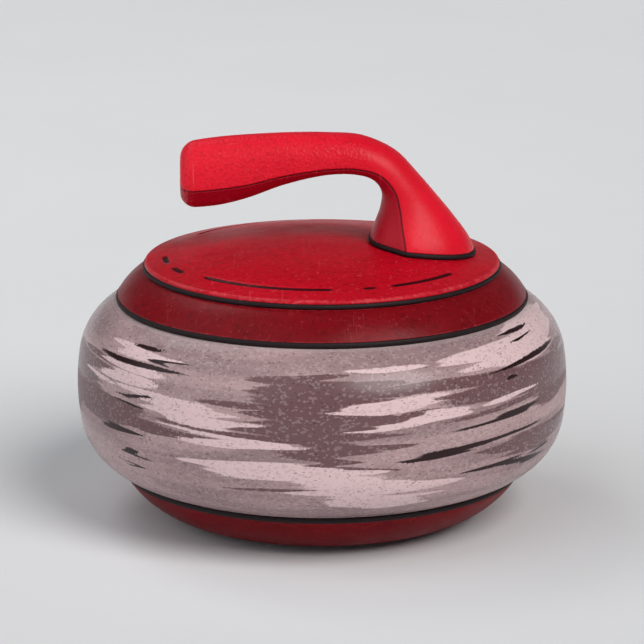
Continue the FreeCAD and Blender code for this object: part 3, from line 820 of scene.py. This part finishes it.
def accent_share(radius, angle):
    """How deep the broken groove is here, from 0 to 1, tapering at both ends of each line."""
    degrees = (math.degrees(angle) + 90) % 360 - 90
    share = 0.0
    for line_r, start, end in ACCENTS:
        across = max(0.0, 1 - ((radius - line_r) / ACCENT_HALF) ** 2)
        along = max(0.0, min(1.0, min(degrees - start, end - degrees) / ACCENT_TAPER))
        share = max(share, across * along)
    return share


def circle(radius, x, y, count=32):
    turns = [2 * math.pi * k / count for k in range(count)]
    return [(x + radius * math.cos(turn), y + radius * math.sin(turn)) for turn in turns]


def screw_places():
    angles = [math.radians(SCREW_TURN + 360 / SCREWS * number) for number in range(SCREWS)]
    return [(SCREW_RING_R * math.cos(a), SCREW_RING_R * math.sin(a)) for a in angles]


def cover_ribs():
    """Screw bosses and stiffening ribs under the cover, reaching halfway into its wall."""
    shapes = []
    for x, y in screw_places():
        outline = circle(BOSS_R, x, y)
        tops = [dome_z(math.hypot(*spot), -COVER_WALL / 2) for spot in outline]
        shapes.append((outline, [BOSS_BASE] * len(outline), tops))
    for number in range(SCREWS):
        angle = 2 * math.pi * number / SCREWS
        along = Vector((math.cos(angle), math.sin(angle)))
        side = Vector((-along.y, along.x)) * RIB_WIDTH / 2
        runs = spread(RIB_START, SPIGOT_R - SPIGOT_WALL / 2, 12)
        outline = [tuple(along * run - side) for run in runs]
        outline += [tuple(along * run + side) for run in reversed(runs)]
        tops = [dome_z(math.hypot(*spot), -COVER_WALL / 2) for spot in outline]
        shapes.append((outline, [RIB_BASE] * len(outline), tops))
    return prisms(shapes)


def cover_holes():
    """Blind holes for the brass inserts, and the oval hole that the handle's core passes through."""
    shapes = []
    for x, y in screw_places():
        outline = circle(BOSS_INSERT_R, x, y)
        shapes.append((outline, [BOSS_BASE - 1.0] * len(outline), [BOSS_HOLE_TOP] * len(outline)))
    half_length, half_width = CORE_FOOT[0] + FIT, CORE_FOOT[1] + FIT
    station = ((FOOT_X + half_length, 0.0), (FOOT_X - half_length, 0.0), half_width, 0.5, CREASE_ROUND)
    outline = [(point[0], point[1]) for point in ring_of(station, lean=0.0)]
    shapes.append((outline, [RIB_BASE - 1.0] * len(outline), [COVER_TOP + 1.0] * len(outline)))
    return prisms(shapes)


def cover_piece(material):
    """Domed shell with a rounded rim, a broken accent groove and a hole for the handle's core."""
    edge = RING_TOP_R - COVER_EDGE_ROUND
    inside = SPIGOT_R - SPIGOT_WALL
    radii = [0.0, COVER_FIRST_R] + spread(COVER_NEXT_R, GROOVE_R - 2 * ACCENT_HALF, DOME_ROWS)
    radii += spread(GROOVE_R - ACCENT_HALF, RIM_GROOVE_R + ACCENT_HALF, GROOVE_ROWS)
    radii += spread(RIM_GROOVE_R + 2 * ACCENT_HALF, edge, EDGE_ROWS)
    top = [(r, dome_z(r), 0.0) for r in radii]
    rim = [(edge + COVER_EDGE_ROUND * math.sin(a), COVER_RIM + COVER_EDGE_ROUND * math.cos(a),
            math.sin(2 * a) ** 2) for a in (math.radians(d) for d in spread(15, 90, 8))]
    under = [(RING_TOP_R - SPIGOT_BEVEL, COVER_RIM), (RIM_BEAD_INNER_R, COVER_RIM),
             (SPIGOT_R + SPIGOT_BEVEL, COVER_RIM), (SPIGOT_R, COVER_RIM - SPIGOT_BEVEL),
             (SPIGOT_R, SPIGOT_END + SPIGOT_BEVEL), (SPIGOT_R - SPIGOT_BEVEL, SPIGOT_END),
             (inside + SPIGOT_BEVEL, SPIGOT_END), (inside, SPIGOT_END + SPIGOT_BEVEL),
             (inside, dome_z(inside, -COVER_WALL) - SPIGOT_BEVEL)]
    under_radii = reversed(spread(0.0, inside - SPIGOT_BEVEL, UNDER_ROWS))
    under += [(r, dome_z(r, -COVER_WALL)) for r in under_radii]
    outline = top + rim + [(r, z, 0.0) for r, z in under]

    def cut(r, z, angle):
        return accent_share(r, angle) if z > dome_z(r) - COVER_WALL / 2 else 0.0

    cover = lathe("domed_cover", outline, material, "cover_red", 480, ["top_cover"], cut)
    combine(cover, cover_ribs(), "UNION")
    combine(cover, cover_holes(), "DIFFERENCE")
    return cover


# ---------------------------------------------------------------- handle

def mixed(a, b, t):
    return a + (b - a) * t


def station_at(place):
    """Grip section at a fractional place in the list, on a smooth curve through the listed ones."""
    last = len(GRIP) - 1
    place = min(max(place, 0.0), float(last))
    index = min(int(place), last - 1)
    t = place - index
    rows = [GRIP[min(max(index + k, 0), last)] for k in (-1, 0, 1, 2)]
    flat = [(u[0], u[1], l[0], l[1], w, c) for u, l, w, c in rows]

    def knot(a, b):
        apart = math.hypot(a[0] - b[0], a[1] - b[1]) + math.hypot(a[2] - b[2], a[3] - b[3])
        return max(math.sqrt(apart), 1e-6)

    before, here, after = (knot(flat[k], flat[k + 1]) for k in range(3))
    values = []
    for p0, p1, p2, p3 in zip(*flat):
        slope_1 = ((p1 - p0) / before - (p2 - p0) / (before + here) + (p2 - p1) / here) * here
        slope_2 = ((p2 - p1) / here - (p3 - p1) / (here + after) + (p3 - p2) / after) * here
        if index == 0:
            slope_1 = (p2 - p1) * 1.5 - slope_2 / 2
        if index == last - 1:
            slope_2 = (p2 - p1) * 1.5 - slope_1 / 2
        values.append((2 * t ** 3 - 3 * t ** 2 + 1) * p1 + (t ** 3 - 2 * t ** 2 + t) * slope_1
                      + (3 * t ** 2 - 2 * t ** 3) * p2 + (t ** 3 - t ** 2) * slope_2)
    flare = max(0.0, (place - NECK_PLACE) / (last - NECK_PLACE))
    rounding = mixed(BAR_CREASE_ROUND, FOOT_CREASE_ROUND, flare)
    return (values[0], values[1]), (values[2], values[3]), values[4], values[5], rounding


def bezier(poles, t):
    s = 1 - t
    weights = (s ** 3, 3 * s * s * t, 3 * s * t * t, t ** 3)
    return tuple(sum(w * p[k] for w, p in zip(weights, poles)) for k in (0, 1))


def half_section(half, width, crease, lean, rounding):
    """One side of a section from the top to the bottom, as (across, up, facet, groove)."""
    edge = half * (2 * crease - 1)
    rise, drop, pull = half - edge, half + edge, CURVE_PULL
    upper = [(0, half), (pull * width, half), (width, edge + rise * pull), (width, edge)]
    inward = drop * pull * math.tan(lean)
    lower = [(width, edge), (width - inward, edge - drop * pull), (pull * width, -half), (0, -half)]
    cut_up = min(CUT_LIMIT, rounding / (3 * rise * pull + 1e-6))
    cut_down = min(CUT_LIMIT, rounding * math.cos(lean) / (3 * drop * pull + 1e-6))
    points = []
    for number in range(ARC_STEPS + 1):
        t = (1 - cut_up) * (1 - (1 - number / ARC_STEPS) ** CROWDING)
        points.append((*bezier(upper, t), 0.0, 0.0))
    first, last = bezier(upper, 1 - cut_up), bezier(lower, cut_down)
    gap = min(SEAM_LIMIT, SEAM_HALF / (2 * rounding))
    stops = [(0.25 - gap / 2, 0.0, 0.0)]
    stops += [(0.5 + gap * share, facet, depth) for share, facet, depth in SEAM]
    stops += [(0.75 + gap / 2, 1.0, 0.0)]
    for t, facet, depth in stops:
        across, up = ((1 - t) ** 2 * first[k] + 2 * t * (1 - t) * (width, edge)[k] + t * t * last[k]
                      for k in (0, 1))
        points.append((across - SEAM_DEPTH * depth, up, facet, depth))
    for number in range(ARC_STEPS + 1):
        t = cut_down + (1 - cut_down) * (number / ARC_STEPS) ** CROWDING
        points.append((*bezier(lower, t), 1.0, 0.0))
    return points


def ring_of(station, shrink=0.0, scale=1.0, lean=CREASE_LEAN):
    """Closed ring of points (x, y, z, facet, groove) round one section."""
    upper, lower, width, crease, rounding = station
    up = Vector((upper[0] - lower[0], upper[1] - lower[1]))
    half = up.length / 2
    up.normalize()
    middle = ((upper[0] + lower[0]) / 2, (upper[1] + lower[1]) / 2)
    side = half_section((half - shrink) * scale, (width - shrink) * scale, crease, lean, rounding)
    ring = []
    for across, height, facet, groove in side:
        ring.append((middle[0] + up.x * height, across, middle[1] + up.y * height, facet, groove))
    for across, height, facet, groove in reversed(side[1:-1]):
        ring.append((middle[0] + up.x * height, -across, middle[1] + up.y * height, facet, groove))
    return ring


def trimmed_rings(first, last, count, raised):
    """Rings from one place to the dome's surface raised by an offset, which each column meets."""
    dense = [ring_of(station_at(place)) for place in spread(first, last, TRIM_DENSITY * count)]
    columns = list(zip(*dense))
    ends = []
    for column in columns:
        for number, (a, b) in enumerate(zip(column, column[1:])):
            gap_a = a[2] - dome_z(math.hypot(a[0], a[1]), raised)
            gap_b = b[2] - dome_z(math.hypot(b[0], b[1]), raised)
            if gap_a > 0 >= gap_b:
                ends.append(number + gap_a / (gap_a - gap_b))
                break
    rings = []
    for number in range(count + 1):
        ring = []
        for column, end in zip(columns, ends):
            spot = end * number / count
            index = min(int(spot), len(column) - 2)
            t = spot - index
            ring.append(tuple(mixed(a, b, t) for a, b in zip(column[index], column[index + 1])))
        rings.append(ring)
    return rings


def core_ring(raised=None, z=CORE_FOOT_TOP):
    """Oval round the handle's core, flat at a height or lying on the raised dome."""
    station = ((FOOT_X + CORE_FOOT[0], z), (FOOT_X - CORE_FOOT[0], z), CORE_FOOT[1], 0.5, CREASE_ROUND)
    ring = ring_of(station, lean=0.0)
    if raised is None:
        return ring
    return [(x, y, dome_z(math.hypot(x, y), raised), w, f) for x, y, _, w, f in ring]


def skinned(rings, start_cap=True, end_cap=True):
    """Points and faces of a tube through rings."""
    size = len(rings[0])
    points = [point for ring in rings for point in ring]
    faces = []
    for row in range(len(rings) - 1):
        for k in range(size):
            nxt = (k + 1) % size
            a, b = row * size, (row + 1) * size
            faces.append((a + k, a + nxt, b + nxt, b + k))
    for wanted, row in ((start_cap, 0), (end_cap, len(rings) - 1)):
        if wanted:
            ring = rings[row]
            middle = tuple(sum(p[k] for p in ring) / size for k in range(5))
            points.append(middle)
            hub = len(points) - 1
            faces += [(row * size + k, row * size + (k + 1) % size, hub) for k in range(size)]
    return points, faces


def grip_piece(material):
    """Gooseneck grip, hollow where the steel core runs, cut to the cover's dome plus the gasket."""
    rings = []
    end_x = GRIP[0][0][0]
    for degrees in spread(0, 90, CAP_ROWS):
        turn = math.radians(degrees)
        along = END_ROUND * (1 - math.cos(turn))
        place = along / (GRIP[1][0][0] - end_x)
        rings.append(ring_of(station_at(place), shrink=END_ROUND * (1 - math.sin(turn))))
    rings = [ring_of(station_at(0.0), shrink=END_ROUND + inset) for inset in CAP_INSETS] + rings
    start = END_ROUND / (GRIP[1][0][0] - end_x)
    rings += [ring_of(station_at(place)) for place in spread(start, TRIM_PLACE, BODY_ROWS)[1:]]
    rings += trimmed_rings(TRIM_PLACE, len(GRIP) - 1.0, FOOT_ROWS, FOOT_BEAD)[1:]
    inner = [core_ring(FOOT_BEAD), core_ring()]
    for place in reversed(spread(CORE_START, TRIM_PLACE, CORE_ROWS)):
        inner.append(ring_of(station_at(place), scale=CORE_SCALE, lean=0.0))
    points, faces = skinned(rings + inner)
    return make_piece("gooseneck_grip", [p[:3] for p in points], faces, material, "grip_red",
                      ["handle_grip"], facet=[p[3] for p in points], groove=[p[4] for p in points])


def gasket_piece(material):
    """Black gasket between the grip's foot and the dome, swelling out all round."""
    foot = trimmed_rings(TRIM_PLACE, len(GRIP) - 1.0, FOOT_ROWS, FOOT_BEAD)[-1]
    size = len(foot)
    lines = []
    for k, (x, y, *_) in enumerate(foot):
        before, after = foot[k - 1], foot[(k + 1) % size]
        out = Vector((after[1] - before[1], before[0] - after[0])).normalized()
        if out.dot(Vector((x - FOOT_X, y))) < 0:
            out = -out
        line = []
        for degrees in spread(-90, 90, 8):
            turn = math.radians(degrees)
            reach_out = BEAD_SWELL * math.cos(turn) + GASKET_OUT
            px, py = x + out.x * reach_out, y + out.y * reach_out
            raised = FOOT_BEAD * (0.5 + 0.5 * math.sin(turn))
            line.append((px, py, dome_z(math.hypot(px, py), raised) + GASKET_LIFT))
        lines.append(line)
    rings = [[line[row] + (0.0, 0.0) for line in lines] for row in range(len(lines[0]))]
    rings = [core_ring(GASKET_LIFT)] + rings + [core_ring(FOOT_BEAD)]
    points, faces = skinned(rings + rings[:1], False, False)
    last = len(rings) * size
    faces = [tuple(i - last if i >= last else i for i in face) for face in faces]
    return make_piece("foot_gasket", [p[:3] for p in points[:last]], faces, material, "black_rubber",
                      ["foot_seal"])


# ---------------------------------------------------------------- stage

def hang(data, place, target, power, colour):
    """Puts a light at a place, shining at a target."""
    data.energy = power
    data.color = colour
    lamp = bpy.data.objects.new(data.name, data)
    bpy.context.scene.collection.objects.link(lamp)
    lamp.location = place
    lamp.rotation_euler = (Vector(target) - Vector(place)).to_track_quat("-Z", "Y").to_euler()


def sun_light(name, place, spread_angle, power, colour):
    data = bpy.data.lights.new(name, "SUN")
    data.angle = math.radians(spread_angle)
    hang(data, place, (0.0, 0.0, 0.0), power, colour)


def area_light(name, place, target, size, power, colour):
    data = bpy.data.lights.new(name, "AREA")
    data.shape = "DISK"
    data.size = size
    hang(data, place, target, power, colour)


def make_camera():
    """Long lens that looks along +Y and a little down, and frames the whole stone."""
    middle = (cad_low + cad_high) / 2
    data = bpy.data.cameras.new("camera")
    data.lens = CAMERA_LENS
    data.sensor_width = CAMERA_SENSOR
    camera = bpy.data.objects.new("camera", data)
    bpy.context.scene.collection.objects.link(camera)
    width = cad_high.x - cad_low.x
    distance = width / STONE_SHARE * CAMERA_LENS / CAMERA_SENSOR
    back = Vector((0.0, -math.cos(CAMERA_DOWN), math.sin(CAMERA_DOWN)))
    camera.location = middle + back * distance
    camera.rotation_euler = (-back).to_track_quat("-Z", "Y").to_euler()
    bpy.context.scene.camera = camera


def make_stage():
    """Pale floor that curves up into a low wall all round, far from the stone."""
    spans = FLOOR_SPANS
    profile = [(1.0, FLOOR_Z), (FLOOR_R, FLOOR_Z)]
    profile += [(FLOOR_R + COVE_R * math.sin(a), FLOOR_Z + COVE_R * (1 - math.cos(a)))
                for a in (math.radians(d) for d in spread(10, 90, 8))]
    profile.append((FLOOR_R + COVE_R, WALL_TOP))
    points = [(0.0, 0.0, FLOOR_Z)]
    points += [around(r, z, 2 * math.pi * span / spans) for r, z in profile for span in range(spans)]
    faces = [(0, 1 + span, 1 + (span + 1) % spans) for span in range(spans)]
    for row in range(len(profile) - 1):
        for span in range(spans):
            a, b, nxt = 1 + row * spans, 1 + (row + 1) * spans, (span + 1) % spans
            faces.append((a + span, b + span, b + nxt, a + nxt))
    mesh = bpy.data.meshes.new("floor")
    mesh.from_pydata(points, [], faces)
    mesh.shade_smooth()
    mesh.materials.append(floor_paint())
    floor = bpy.data.objects.new("floor", mesh)
    bpy.context.scene.collection.objects.link(floor)
    world = bpy.data.worlds.new("studio")
    bpy.context.scene.world = world
    world.use_nodes = True
    background = world.node_tree.nodes["Background"]
    background.inputs[0].default_value = (0.82, 0.84, 0.87, 1.0)
    background.inputs[1].default_value = 0.15
    bpy.context.scene.view_settings.view_transform = "Standard"
    middle = (cad_low + cad_high) / 2
    sun_light("key", (0.95, -1.15, 1.35), 34.0, 2.15, (1.0, 0.98, 0.96))
    sun_light("fill", (-1.5, -0.9, 1.1), 80.0, 1.25, (0.96, 0.98, 1.0))
    area_light("back", (-0.9, 0.9, 1.9), middle, 0.9, 6.0, (1.0, 1.0, 1.0))


# ---------------------------------------------------------------- build

make_camera()
make_stage()

steel = metal("machined_steel", srgb(196, 198, 202), srgb(150, 152, 158), 0.22, 1.0, (1800, 1800, 260))
cast = metal("cast_aluminium", srgb(196, 198, 202), srgb(160, 163, 168), 0.34, 520.0, relief=0.0003)
yellow = metal("turned_brass", srgb(216, 178, 96), srgb(176, 138, 66), 0.2, 1.0, (300, 300, 2400))
black = rubber()
plain_nylon = nylon()
stone = granite()
fine_stone = hone_granite()
cover_red = red_plastic("cover_red", srgb(192, 8, 32), srgb(178, 5, 26), srgb(226, 96, 104), 0.32, 0.12)
collar_red = red_plastic("collar_red", srgb(128, 8, 20), srgb(114, 6, 17), srgb(172, 62, 68), 0.32, 0.12)
skirt_red = red_plastic("skirt_red", srgb(118, 5, 16), srgb(104, 4, 13), srgb(160, 56, 62), 0.36, 0.07)
grip_red = grip_plastic()

stone_piece(stone)
insert_piece(fine_stone)
skirt_piece(skirt_red)
ring_piece(collar_red)
cover_piece(cover_red)
bead_piece("lower_bead", "lower_seal", LOWER_BEAD_INNER_R, black)
bead_piece("upper_bead", "upper_seal", UPPER_BEAD_INNER_R, black)
bead_piece("rim_bead", "cover_seal", RIM_BEAD_INNER_R, black)
grip_piece(grip_red)
gasket_piece(black)

# The pieces that stay as the CAD model's own meshes
CAD_FINISH = {
    "plate_cushion": black, "load_plate": cast, "hub_insert": yellow, "boss_inserts": yellow,
    "centre_bolt": steel, "lock_washer": steel, "bolt_washer": steel, "cushion_washer": plain_nylon,
    "bore_sleeve": plain_nylon, "handle_core": steel, "handle_screws": steel, "cover_screws": steel,
}
for node, material in CAD_FINISH.items():
    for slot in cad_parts[node].material_slots:
        slot.material = material
